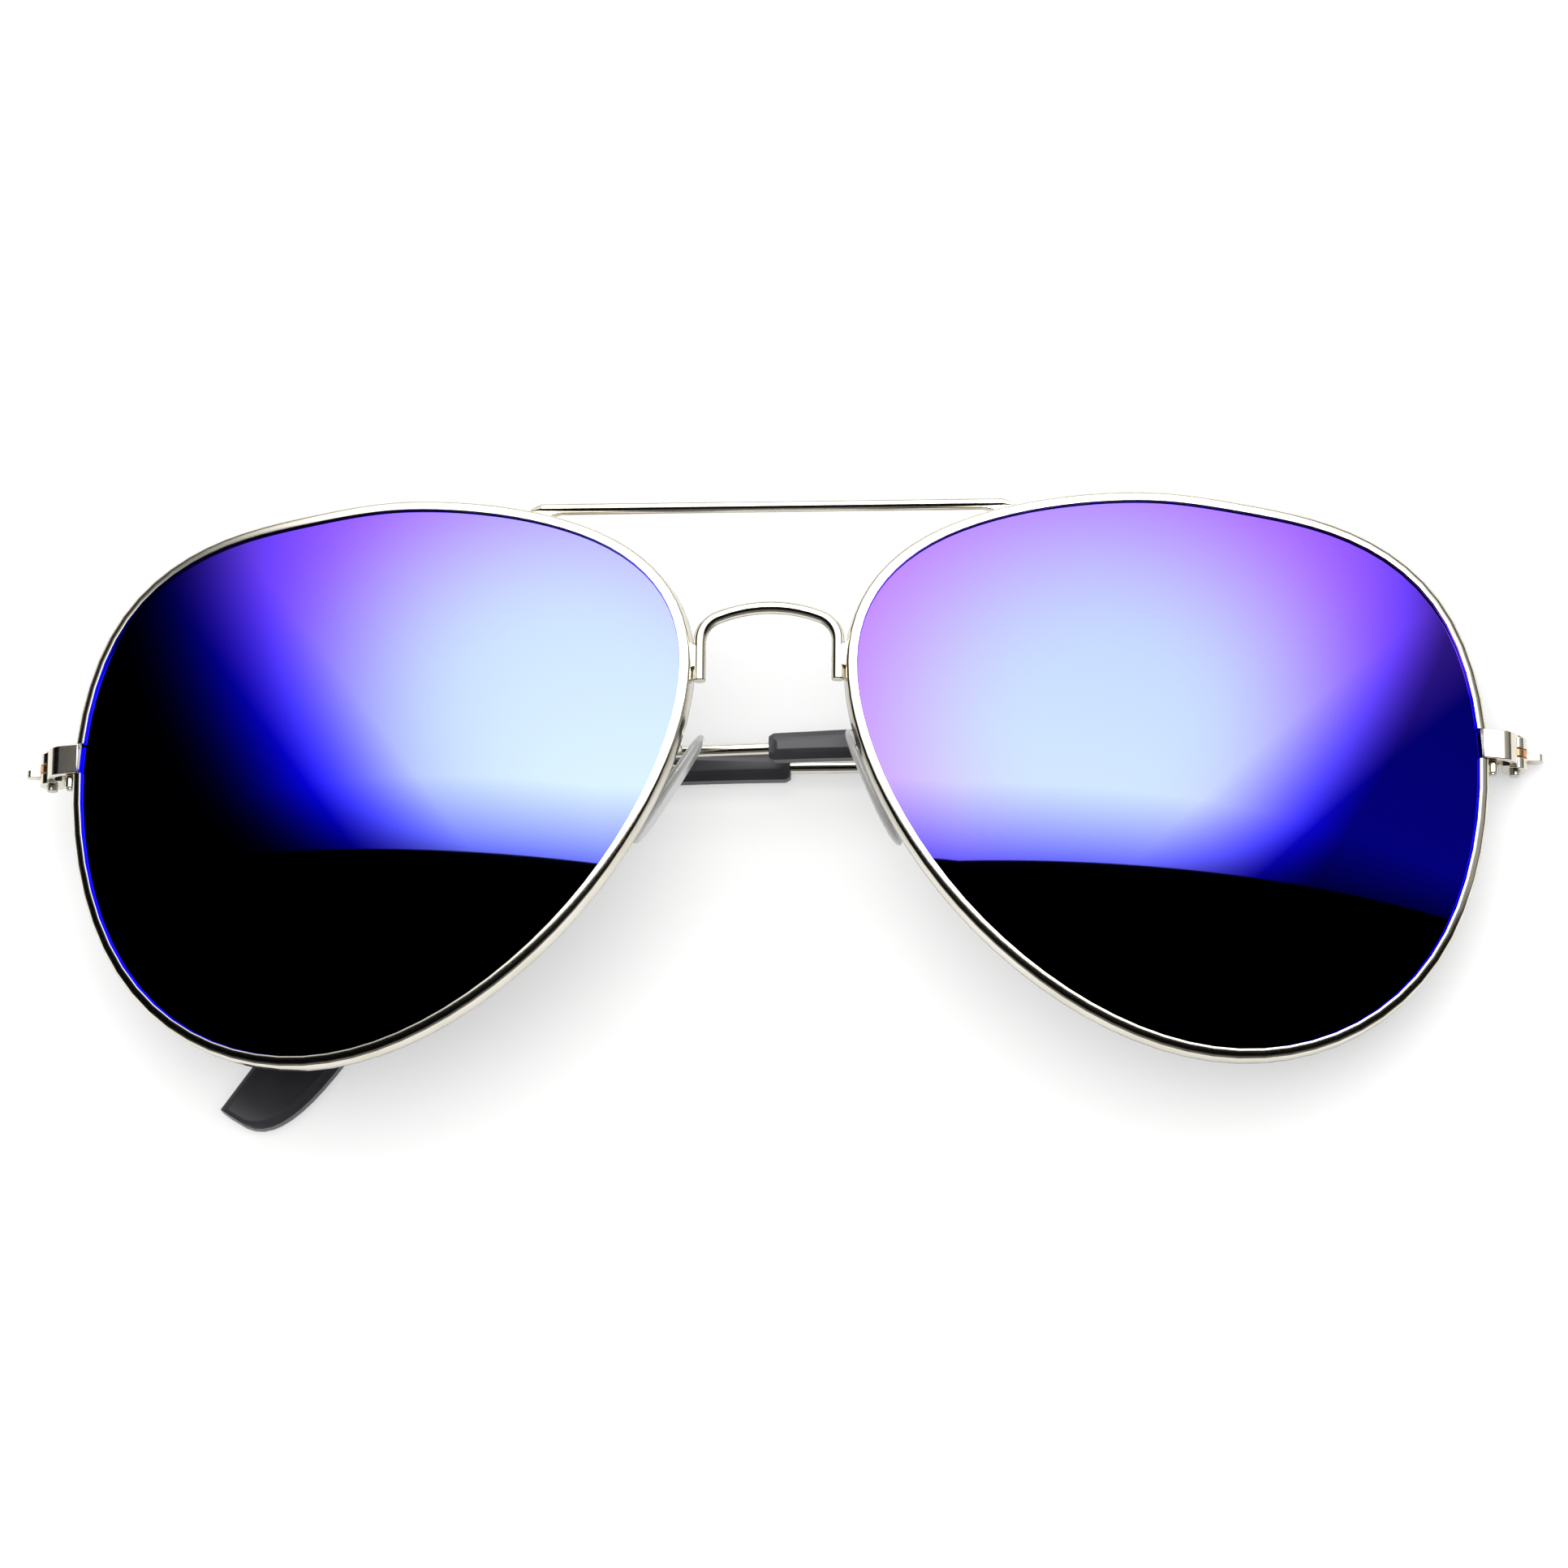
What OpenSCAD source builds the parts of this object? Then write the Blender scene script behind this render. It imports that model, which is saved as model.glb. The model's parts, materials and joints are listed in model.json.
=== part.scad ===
// Aviator sunglasses with a double bridge, lying folded and face up on a table.
// The front is drawn in its own frame: X to the viewer's right, Y up the lens,
// Z towards the viewer, with the two hinge axes at Z = 0. It is then laid on the table.

/* [Lens] */
// Width of the lens that shows inside its rim
lens_width = 58; // [54:0.5:62]
// Height of the lens that shows inside its rim
lens_height = 52; // [47:0.5:56]
// Thickness of the curved lens sheet
lens_thickness = 1.1; // [0.8:0.1:1.4]
// Radius of the sphere that the lens is blown to
lens_curve = 90; // [80:1:130]
// Angle that each lens turns back round the face
lens_wrap = 12; // [9:0.5:14]

/* [Rim] */
// Width of the rim wire seen from the front
rim_width = 1; // [0.9:0.05:1.4]
// How far the rim lip covers the edge of the lens
rim_lip = 0.45; // [0.3:0.05:0.5]
// How far the rim stands in front of the lens, and behind it
rim_cover = 0.35; // [0.35:0.05:0.6]
// Radius along the four outer corners of the rim wire
rim_round = 0.25; // [0.1:0.05:0.25]
// Play between the lens and its groove
lens_fit = 0.05; // [0.03:0.01:0.08]

/* [Bridge and brow bar] */
// Gap between the two lenses at the nose
nose_gap = 16.3; // [14:0.1:20]
// Diameter of the bridge wire
bridge_wire = 1.2; // [0.9:0.1:1.6]
// Height of the bridge feet above the middle of the lens
bridge_foot = 7.8; // [6:0.1:9]
// Length of the straight bridge legs that are brazed to the rims
bridge_leg = 3.7; // [2:0.1:5]
// Radius of the bridge corners
bridge_corner = 2.6; // [1.5:0.1:3.5]
// Slope of the bridge bow where it leaves a corner
bridge_bow = 22; // [12:1:35]
// Diameter of the brow bar
brow_wire = 1.1; // [0.8:0.1:1.4]
// Place of the brow bar's end along the rim, from the top of the lens to the nose
brow_end = 0.6; // [0.5:0.01:0.9]
// Braze gap that is left between soldered wires
braze_gap = 0.03; // [0.02:0.01:0.05]

/* [Nose pads] */
// Length of a nose pad
pad_length = 12; // [10:0.5:15]
// Width of a nose pad
pad_width = 7; // [5:0.5:8]
// Thickness of a nose pad
pad_thickness = 1; // [0.8:0.1:2]
// Distance of the left pad's middle outwards from the lens edge, as set for the wearer
left_inset = 1.4; // [0.5:0.1:2]
// Distance of the right pad's middle outwards from the lens edge, as set for the wearer
right_inset = 1.1; // [0.5:0.1:2]
// Height of the pad's middle above the middle of the lens
pad_height = -0.5; // [-2:0.1:1]
// Distance of the pad's middle behind the top of the lens curve
pad_depth = 6.2; // [5.5:0.1:7]
// Angle by which the left pad spreads towards the bottom, as set for the wearer
left_flare = 32; // [20:1:34]
// Angle by which the right pad spreads towards the bottom, as set for the wearer
right_flare = 23; // [20:1:34]
// Angle by which the pads spread towards the back
pad_splay = 8; // [6:1:20]
// Diameter of the wire of the pad arm
pad_wire = 0.9; // [0.7:0.1:1.1]
// Diameter of the small screw that the pad rocks on
pad_screw = 0.8; // [0.6:0.1:1]
// Diameter of the eye on the pad's metal core
pad_eye = 1.5; // [1.3:0.1:1.7]
// Thickness of the sheet that the pad box and the pad core are pressed from
pad_sheet = 0.35; // [0.3:0.05:0.45]
// Diameter of the head of the pad screw
pad_head = 1.1; // [1.05:0.05:1.3]
// Length of the eye along the pad screw
eye_length = 1.2; // [1:0.1:1.4]
// Length of the neck between the pad's core plate and its eye
pad_neck = 0.35; // [0.3:0.05:0.5]
// Length of the core plate on the back of the pad
core_length = 3.9; // [3:0.1:5]
// Width of the core plate on the back of the pad
core_width = 2.4; // [2:0.1:3]
// Play between the rocking eye and the back of its box
pad_play = 0.3; // [0.25:0.05:0.4]
// Play between the ends of the eye and the cheeks of the box
cheek_play = 0.1; // [0.08:0.01:0.15]
// Place of the pad arm's root along the rim, from the nose to the bottom
arm_root = 0.3; // [0.2:0.05:0.5]
// Reach of the curl of the pad arm
arm_curl = 1.7; // [1.4:0.1:2]

/* [End pieces] */
// Height of the end piece strip
end_height = 2.8; // [2.4:0.1:3.6]
// Thickness of the end piece strip
end_thickness = 0.7; // [0.5:0.05:0.9]
// Inner radius of the bend of the end piece
end_bend = 1.25; // [1:0.05:1.5]
// Reach of the end piece outside the rim
end_reach = 2.9; // [2.7:0.1:3.6]
// Angle by which the end piece slopes back from the face of the rim
end_slope = 17.5; // [10:0.5:19]
// Depth from the face of the end piece back to the hinge axis
end_depth = 4.2; // [3.9:0.1:5]
// Diameter of the screw that closes the rim
lock_screw = 0.7; // [0.5:0.05:0.8]
// Diameter of the closing tube under the end piece
lock_tube = 1.1; // [1.1:0.05:1.5]
// Height of the closing tube
lock_height = 1; // [1:0.1:1.8]
// Length of the closing screw inside the block
lock_depth = 2; // [1.4:0.1:2.2]
// Length of the closing screw that shows under its tube
lock_end = 0.2; // [0.2:0.1:0.8]
// Gap at the seams of the rim, above and below the block
seam = 0.06; // [0.04:0.01:0.1]
// Gap between the edge of the lens and the block
lens_clear = 0.2; // [0.15:0.05:0.3]

/* [Hinges] */
// Height of the hinges above the middle of the lens
hinge_height = 4.5; // [3:0.1:6]
// Diameter of the hinge knuckles
knuckle = 2.4; // [2.1:0.1:2.6]
// Height of each of the two knuckles on the end piece
knuckle_height = 1.05; // [0.8:0.05:1.3]
// Thickness of the temple's tongue between them
tongue = 0.7; // [0.6:0.05:0.9]
// Distance of the hinge axis inside the outer face of the end piece
hinge_inset = 0.2; // [0.1:0.05:0.3]
// Thickness of the leaf that carries the knuckles
leaf_thickness = 0.7; // [0.5:0.05:0.8]
// Diameter of the hinge screw
hinge_screw = 1; // [0.8:0.05:1.2]
// Diameter of the head of the hinge screw
hinge_head = 1.6; // [1.4:0.05:1.9]
// Height of the heads of the hinge and pad screws
head_height = 0.3; // [0.2:0.05:0.4]
// Length of the hinge screw that shows below the lower knuckle
screw_end = 0.5; // [0.4:0.1:1.2]
// Axial play between tongue and knuckles, and round the tongue's eye
hinge_play = 0.1; // [0.08:0.01:0.15]
// Radial play round the hinge, pad and closing screws
pin_fit = 0.03; // [0.02:0.01:0.05]

/* [Temples] */
// Diameter of the temple wire
temple_wire = 1.1; // [0.9:0.1:1.3]
// Distance from the hinge axis to the middle of the temple wire
temple_offset = 1.1; // [1:0.05:1.3]
// Length of the stop that the tongue has beyond the hinge axis
temple_stop = 2.7; // [2.2:0.1:3]
// Length of the flat tongue from the hinge axis to the round wire
tongue_length = 5.5; // [4:0.5:8]
// Length of the left temple from the hinge axis to the ear bend, as fitted to the wearer
left_bend = 84.5; // [80:0.5:88]
// Length of the right temple from the hinge axis to the ear bend, as fitted to the wearer
right_bend = 80; // [80:0.5:88]
// Angle of the left ear bend
left_ear = 50; // [45:1:55]
// Angle of the right ear bend
right_ear = 55; // [45:1:60]
// Radius of the ear bends
ear_radius = 25; // [20:1:30]
// Length of the whole temple along its middle
temple_length = 133.5; // [130:0.5:142]
// Distance from the hinge axis to the mouth of the plastic tip
tip_start = 67.5; // [62:0.5:70]
// Thickness of the plastic tip
tip_thickness = 2; // [1.8:0.1:2.4]
// Height of the plastic tip at its mouth
tip_mouth = 2.1; // [1.9:0.1:2.6]
// Height of the plastic tip at its widest, at the paddle
tip_paddle = 6.8; // [4:0.1:7.4]
// Length of the paddle that tapers to the end
tip_taper = 13; // [9:0.5:16]
// Width of the end of the paddle
tip_end = 1.4; // [1:0.1:2]
// Fullness of the sweep of the paddle's inner edge, where 2 is an ellipse
tip_fullness = 3; // [2:0.25:4]
// Chamfer along the edges of the plastic tip
tip_chamfer = 0.45; // [0.3:0.05:0.55]
// Length of the wire inside the socket of the tip
socket_depth = 12; // [8:0.5:12]
// Play between the wire and its socket in the tip
socket_fit = 0.03; // [0.02:0.01:0.06]

/* [Folded pose] */
// Angle that the left temple is folded past parallel, towards the lenses
left_fold = 1.75; // [0.5:0.25:1.75]
// Angle that the right temple stays open from parallel, outside the left one
right_fold = 2; // [1:0.25:3]
// Angle that handling has set the left temple upwards
left_set = 1.1; // [0:0.1:1.4]
// Angle that handling has set the right temple upwards
right_set = 0.6; // [0:0.1:1.2]

/* [Hidden] */
$fn = 48;
metal = "gainsboro";
steel = "silver";

// Handles of the closed curve of the lens edge, as shares of half its width and height.
// They run from the upper temple corner over the top to the nose and round the bottom.
lens_handles = [
    [1.05, 0.885], [0.17, 0.98], [-0.09, 1.02], [-0.81, 0.885],
    [-1.10, 0.385], [-0.76, -0.56], [0.12, -1.17], [1.03, -0.71]
];
edge_steps = 88;
top_place = 2;
nose_place = 4;
temple_place = len(lens_handles) - 1;

// Lens edge: a closed cubic curve over the handles, s counts handles
function handle(i) =
    let (h = lens_handles[i % len(lens_handles)])
    [h.x * lens_width / 2, h.y * lens_height / 2];
function edge_point(s) =
    let (i = floor(s), t = s - i)
    (handle(i + temple_place) * pow(1 - t, 3)
        + handle(i) * (3 * pow(t, 3) - 6 * t * t + 4)
        + handle(i + 1) * (-3 * pow(t, 3) + 3 * t * t + 3 * t + 1)
        + handle(i + 2) * pow(t, 3)) / 6;
function edge_slope(s) =
    let (i = floor(s), t = s - i)
    (-handle(i + temple_place) * pow(1 - t, 2)
        + handle(i) * (3 * t * t - 4 * t)
        + handle(i + 1) * (-3 * t * t + 2 * t + 1)
        + handle(i + 2) * t * t) / 2;
function edge_normal(s) = let (g = edge_slope(s)) [g.y, -g.x] / norm(g);
function edge_offset(s, out) = edge_point(s) + edge_normal(s) * out;
// Place on the temple side of the edge at a given height, found by halving
function edge_at_height(y, low, high, halvings) =
    let (middle = (low + high) / 2)
    halvings == 0 ? middle
    : edge_point(middle).y < y ? edge_at_height(y, middle, high, halvings - 1)
    : edge_at_height(y, low, middle, halvings - 1);
function temple_side(y) = edge_at_height(y, temple_place, temple_place + 1, 30);

// Depth of the front and of the back of the lens at a point in the lens plane
function front_depth(p) = sqrt(pow(lens_curve, 2) - p.x * p.x - p.y * p.y) - lens_curve;
function back_depth(p) =
    sqrt(pow(lens_curve - lens_thickness, 2) - p.x * p.x - p.y * p.y) - lens_curve;

// Turns about Y and Z, as the rotate command makes them
function turn_y(p, a) = [p.x * cos(a) + p.z * sin(a), p.y, -p.x * sin(a) + p.z * cos(a)];
function turn_z(p, a) = [p.x * cos(a) - p.y * sin(a), p.x * sin(a) + p.y * cos(a), p.z];
function unit(v) = v / norm(v);

// The lens is set by its nose edge and by the rim face beside the end piece
nose_edge = edge_point(nose_place);
nose_local = [nose_edge.x, nose_edge.y, front_depth(nose_edge)];
hinge_place = temple_side(hinge_height);
temple_edge = edge_point(hinge_place);
temple_local = [temple_edge.x, temple_edge.y, front_depth(temple_edge) + rim_cover];
lens_x = nose_gap / 2 - turn_y(nose_local, lens_wrap).x;
lens_z = end_depth - turn_y(temple_local, lens_wrap).z;
function to_front(p) = turn_y(p, lens_wrap) + [lens_x, 0, lens_z];
function rim_middle(s, out) =
    let (p = edge_offset(s, out))
    to_front([p.x, p.y, (front_depth(p) + back_depth(p)) / 2]);

// End piece and hinge, worked out from the rim's outer wall at the hinge height
rim_outside = rim_middle(hinge_place, rim_width).x;
leg_outside = rim_outside + end_reach;
leg_inside = leg_outside - end_thickness;
block_x = rim_middle(hinge_place, rim_lip).x + lens_clear;
// The strip slopes back from the block and then bends round to the hinge
bend_outside = end_bend + end_thickness;
bend_x = leg_outside - bend_outside;
bend_z = end_depth - (bend_x - block_x) * tan(end_slope) - bend_outside / cos(end_slope);
leg_end = knuckle / 2 + hinge_play;
hinge_x = leg_outside - hinge_inset;
hinge_total = tongue + 2 * (hinge_play + knuckle_height);
rim_top_end = temple_side(hinge_height + end_height / 2 + seam);
rim_bottom_end = temple_side(hinge_height - end_height / 2 - seam) + len(lens_handles);
tube_place = temple_side(hinge_height - end_height / 2 - seam - lock_height / 2);
tube_axis = rim_middle(tube_place, rim_width + lock_tube / 2 + braze_gap);
block_bottom = tube_axis.z - lock_tube / 2;

// Pad, its core and its box, in the pad's own frame: the face looks to -X.
// A pad's seat is the pair of its inset and its flare.
left_seat = [left_inset, left_flare];
right_seat = [right_inset, right_flare];
function pad_middle(seat) = [nose_gap / 2 + seat[0], pad_height, lens_z - pad_depth];
function to_pad(p, seat) = turn_z(turn_y(p, -pad_splay), seat[1]) + pad_middle(seat);
eye_x = pad_thickness / 2 + pad_sheet + pad_neck + pad_eye / 2;
box_back = eye_x + pad_eye / 2 + pad_play;
box_cheek = eye_length / 2 + cheek_play;

// Temple path in its own frame: from the hinge axis along -X, then down the ear bend.
// A fit is the pair of a temple's length to the bend and the angle of the bend.
left_fit = [left_bend, left_ear];
right_fit = [right_bend, right_ear];
tip_widest = temple_length - tip_taper;
tip_steps = 30;
function bend_length(fit) = ear_radius * fit[1] * PI / 180;
function path_angle(s, fit) =
    s < fit[0] ? 0
    : s > fit[0] + bend_length(fit) ? fit[1]
    : (s - fit[0]) / ear_radius * 180 / PI;
function path_point(s, fit) =
    let (a = path_angle(s, fit),
         past = max(0, s - fit[0] - bend_length(fit)))
    [-min(s, fit[0]) - ear_radius * sin(a) - past * cos(a),
     -ear_radius * (1 - cos(a)) - past * sin(a),
     -temple_offset];
function ease(x) = let (c = min(1, max(0, x))) c * c * (3 - 2 * c);
function tip_spread(s) =
    (tip_mouth + (tip_paddle - tip_mouth) * ease((s - tip_start) / (tip_widest - tip_start))) / 2;
// The inner edge of the paddle sweeps in a full curve to the cut end
function tip_inner(s) =
    let (x = max(0, s - tip_widest) / tip_taper, low = tip_end - tip_paddle / 2)
    x == 0 ? tip_spread(s)
    : low + (tip_paddle / 2 - low) * pow(max(0, 1 - pow(x, tip_fullness)), 1 / tip_fullness);
// Eight points of a chamfered strip, from the inner edge of the bend to the outer one
function tip_ring(s, fit, grow) =
    let (a = path_angle(s, fit), across = [-sin(a), cos(a), 0], up = [0, 0, 1],
         high = tip_spread(s) * grow, low = -tip_inner(s) * grow,
         half = tip_thickness / 2 * grow, cut = min(tip_chamfer, (high - low) / 4) * grow)
    [for (q = [[low, -half + cut], [low + cut, -half], [high - cut, -half], [high, -half + cut],
               [high, half - cut], [high - cut, half], [low + cut, half], [low, half - cut]])
        path_point(s, fit) + across * q.x + up * q.y];
// The rings draw together towards the end, where the edge sweeps
mouth_grow = 0.8;
function tip_rings(fit) = concat(
    [tip_ring(tip_start, fit, mouth_grow)],
    [for (k = [0 : tip_steps])
        tip_ring(tip_start + tip_chamfer
            + (temple_length - tip_start - tip_chamfer) * sin(90 * k / tip_steps), fit, 1)]);

// Pose on the table: the right temple lies flat, so the front leans by its angle
front_lift = hinge_x * sin(right_fold) + temple_offset + tip_thickness / 2;
rim_top = max([for (k = [0 : edge_steps]) edge_offset(k * len(lens_handles) / edge_steps, rim_width).y]);
tip_bottom = hinge_height
    + min([for (r = tip_rings(right_fit), p = r) turn_z(p + [tongue_length, 0, 0], -right_set).y]);
table_y = -(rim_top + tip_bottom) / 2;

module lying() {
    translate([0, table_y, front_lift]) rotate([0, right_fold, 0]) children();
}
module right_side() { lying() children(); }
module left_side() { lying() mirror([1, 0, 0]) children(); }
module both_sides() { right_side() children(); left_side() children(); }
module folded(angle) {
    translate([hinge_x, hinge_height, 0]) rotate([0, angle, 0]) children();
}
module at_pad(seat) {
    translate(pad_middle(seat)) rotate([0, 0, seat[1]]) rotate([0, -pad_splay, 0]) children();
}
// Bends the temple up behind its tongue
module set_by(angle) {
    translate([-tongue_length, 0, 0]) rotate([0, 0, -angle]) translate([tongue_length, 0, 0]) children();
}
module left_temple() {
    left_side() folded(left_fold) set_by(left_set) children();
}
module right_temple() {
    right_side() folded(-right_fold) set_by(right_set) children();
}
// Turns a flat shape in X and Z into a slab of a given height, centred on Y
module slab(height) { rotate([90, 0, 0]) linear_extrude(height, center = true) children(); }
module rod(length, diameter) { rotate([90, 0, 0]) cylinder(length, d = diameter, center = true); }

// Skin over a row of closed rings; the flat ends are made of the convex faces in caps
function one_cap(count) = [[for (j = [0 : count - 1]) j]];
module skin(rings, caps) {
    count = len(rings[0]);
    last = len(rings) - 1;
    polyhedron(
        [for (r = rings, p = r) p],
        concat(
            caps,
            [for (i = [0 : last - 1], j = [0 : count - 1], half = [0, 1])
                let (a = i * count + j, b = i * count + (j + 1) % count)
                half == 0 ? [b, a, a + count] : [b, a + count, b + count]],
            [for (c = caps) [for (j = [len(c) - 1 : -1 : 0]) last * count + c[j]]]));
}

// Rim: a grooved wire that runs round the lens from one side of the end piece to the other
function round_corner(x, y, from) =
    [for (a = [from : -45 : from - 90]) [x + rim_round * cos(a), y + rim_round * sin(a)]];
rim_section = concat(
    [[0, lens_fit]],
    round_corner(rim_round, rim_cover - rim_round, 180),
    round_corner(rim_width - rim_round, rim_cover - rim_round, 90),
    round_corner(rim_width - rim_round, rim_round - rim_cover, 0),
    round_corner(rim_round, rim_round - rim_cover, -90),
    [[0, -lens_fit], [rim_lip, -lens_fit], [rim_lip, lens_fit]]);
// Faces of the rim's cut ends: the two lips, the wall behind the groove and its two corners
rim_caps = [[0, 1, 2, 3, 15], [3, 4, 5, 6, 15], [6, 7, 14, 15], [7, 8, 9, 10, 14], [10, 11, 12, 13, 14]];
function rim_ring(s) =
    [for (q = rim_section)
        let (p = edge_offset(s, q.x))
        to_front([p.x, p.y, (q.y > 0 ? front_depth(p) : back_depth(p)) + q.y])];
module rim() {
    color(metal)
        skin([for (k = [0 : edge_steps])
            rim_ring(rim_top_end + (rim_bottom_end - rim_top_end) * k / edge_steps)], rim_caps);
}

// Lens: a shell of a sphere, cut to the edge curve and let into the rim's groove
module lens() {
    color("royalblue")
        translate([lens_x, 0, lens_z]) rotate([0, lens_wrap, 0])
            intersection() {
                translate([0, 0, -lens_curve / 2])
                    linear_extrude(lens_curve)
                        polygon([for (k = [0 : edge_steps - 1])
                            edge_offset(k * len(lens_handles) / edge_steps, rim_lip - lens_fit)]);
                translate([0, 0, -lens_curve]) difference() {
                    sphere(lens_curve, $fn = 96);
                    sphere(lens_curve - lens_thickness, $fn = 96);
                }
            }
}

// Brow bar: a straight wire brazed on top of both rims
module brow_bar() {
    seat = rim_middle(top_place + brow_end, rim_width + brow_wire / 2 + braze_gap);
    color(metal) lying() translate([0, seat.y, seat.z])
        rotate([0, 90, 0]) cylinder(2 * seat.x, d = brow_wire, center = true);
}

// Bridge: one bent wire, two legs against the rims, two corners and a shallow bow
module bend(radius, wire, from, angle) {
    rotate([0, 0, from]) rotate_extrude(angle = angle) translate([radius, 0]) circle(d = wire, $fn = 32);
}
module bridge() {
    nose = rim_middle(nose_place, rim_width);
    leg_x = nose.x - bridge_wire / 2 - braze_gap;
    leg_top = bridge_foot + bridge_leg;
    bow_radius = bridge_corner + (leg_x - bridge_corner) / sin(bridge_bow);
    bow_drop = (bow_radius - bridge_corner) * cos(bridge_bow);
    color(metal) lying() translate([0, 0, nose.z]) {
        for (side = [-1, 1])
            translate([side * leg_x, bridge_foot, 0])
                rotate([-90, 0, 0]) cylinder(bridge_leg, d = bridge_wire, $fn = 32);
        translate([leg_x - bridge_corner, leg_top, 0])
            bend(bridge_corner, bridge_wire, 0, 90 - bridge_bow);
        translate([bridge_corner - leg_x, leg_top, 0])
            bend(bridge_corner, bridge_wire, 90 + bridge_bow, 90 - bridge_bow);
        translate([0, leg_top - bow_drop, 0])
            bend(bow_radius, bridge_wire, 90 - bridge_bow, 2 * bridge_bow);
    }
}

// Pad arm: a wire from the back of the rim, curled round to the back of the pad box
function curve_point(p, i, t) =
    let (last = len(p) - 1,
         a = p[max(0, i - 1)], b = p[i], c = p[min(last, i + 1)], d = p[min(last, i + 2)])
    (2 * b + (c - a) * t + (2 * a - 5 * b + 4 * c - d) * t * t
        + (3 * b - a - 3 * c + d) * pow(t, 3)) / 2;
function wire_ring(centre, along, diameter, sides) =
    let (across = unit(cross(along, [0, 1, 0])), up = cross(across, along))
    [for (k = [0 : sides - 1])
        centre + (across * cos(360 * k / sides) + up * sin(360 * k / sides)) * diameter / 2];
module pad_arm(seat) {
    p = edge_offset(nose_place + arm_root, rim_width / 2);
    root = to_front([p.x, p.y, back_depth(p) - rim_cover - braze_gap]);
    end = to_pad([box_back + pad_sheet, 0, 0], seat);
    outward = to_pad([box_back + pad_sheet + 1, 0, 0], seat) - end;
    route = [
        root,
        root + [0.2, 0, -arm_curl],
        (root + end) / 2 + [arm_curl, 0.4, -0.2],
        end + outward * arm_curl,
        end
    ];
    steps = 6;
    sides = 10;
    places = [for (i = [0 : len(route) - 2], k = [0 : steps - 1]) curve_point(route, i, k / steps)];
    points = concat(places, [end]);
    last = len(points) - 1;
    color(metal)
        skin([for (k = [0 : last])
            let (along = k == 0 ? route[1] - route[0]
                 : k == last ? -outward
                 : points[k + 1] - points[k - 1])
            wire_ring(points[k], unit(along), pad_wire, sides)], one_cap(sides));
}

// Pad box: a pressed cup with two cheeks that hold the pad screw
module pad_box(seat) {
    cheek = box_back - eye_x + pad_screw / 2 + pin_fit + pad_sheet / 2;
    color(metal) at_pad(seat) difference() {
        union() {
            translate([box_back, -pad_eye / 2, -box_cheek - pad_sheet])
                cube([pad_sheet, pad_eye, 2 * (box_cheek + pad_sheet)]);
            for (z = [-box_cheek - pad_sheet, box_cheek])
                translate([box_back - cheek, -pad_eye / 2, z])
                    cube([cheek, pad_eye, pad_sheet]);
        }
        translate([eye_x, 0, 0])
            cylinder(4 * box_cheek, d = pad_screw + 2 * pin_fit, center = true);
    }
}
module pad_screw(seat) {
    color(steel) at_pad(seat) translate([eye_x, 0, -box_cheek - pad_sheet]) {
        cylinder(2 * (box_cheek + pad_sheet), d = pad_screw);
        translate([0, 0, -head_height]) cylinder(head_height, d = pad_head);
    }
}
module pad_screws() {
    left_side() pad_screw(left_seat);
    right_side() pad_screw(right_seat);
}

// Pad core: the metal plate on the back of the pad, with the eye that rocks on the screw
module pad_core(seat) {
    color(metal) at_pad(seat) difference() {
        union() {
            translate([pad_thickness / 2, -core_length / 2, -core_width / 2])
                cube([pad_sheet, core_length, core_width]);
            translate([eye_x, 0, 0]) cylinder(eye_length, d = pad_eye, center = true);
            translate([pad_thickness / 2 + pad_sheet / 2, -pad_screw / 2, -eye_length / 2])
                cube([pad_neck + pad_eye / 2, pad_screw, eye_length]);
        }
        translate([eye_x, 0, 0])
            cylinder(2 * eye_length, d = pad_screw + 2 * pin_fit, center = true);
    }
}

// Nose pad: a crowned egg-shaped cushion with full ends, flat on the back where the core sits
function fuller(x) = sign(x) * pow(abs(x), 0.8);
module nose_pad(seat) {
    crown = [[0.5, 0.88], [0.36, 0.97], [0.1, 1], [-0.2, 0.98], [-0.4, 0.89], [-0.5, 0.74]];
    egg = 0.12;
    sides = 32;
    color([0.85, 0.87, 0.86]) at_pad(seat)
        skin([for (c = crown)
            [for (k = [0 : sides - 1])
                let (a = 360 * k / sides)
                [c[0] * pad_thickness,
                 -c[1] * pad_length / 2 * fuller(cos(a)),
                 -c[1] * pad_width / 2 * fuller(sin(a)) * (1 + egg * cos(a))]]], one_cap(sides));
}

// End piece: a strip bent from the face of the rim back to the hinge
module strip_outline(inset) {
    translate([bend_x, bend_z]) {
        circle(bend_outside - inset);
        translate([-end_depth, -2 * end_depth])
            square([end_depth + bend_outside - inset, 2 * end_depth]);
        rotate(-end_slope) translate([-2 * end_depth, -end_depth])
            square([2 * end_depth, end_depth + bend_outside - inset]);
    }
}
module end_piece() {
    color(metal) translate([0, hinge_height, 0]) slab(end_height) intersection() {
        difference() {
            strip_outline(0);
            strip_outline(end_thickness);
        }
        translate([block_x, leg_end]) square([leg_outside - block_x, end_depth]);
    }
}

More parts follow.
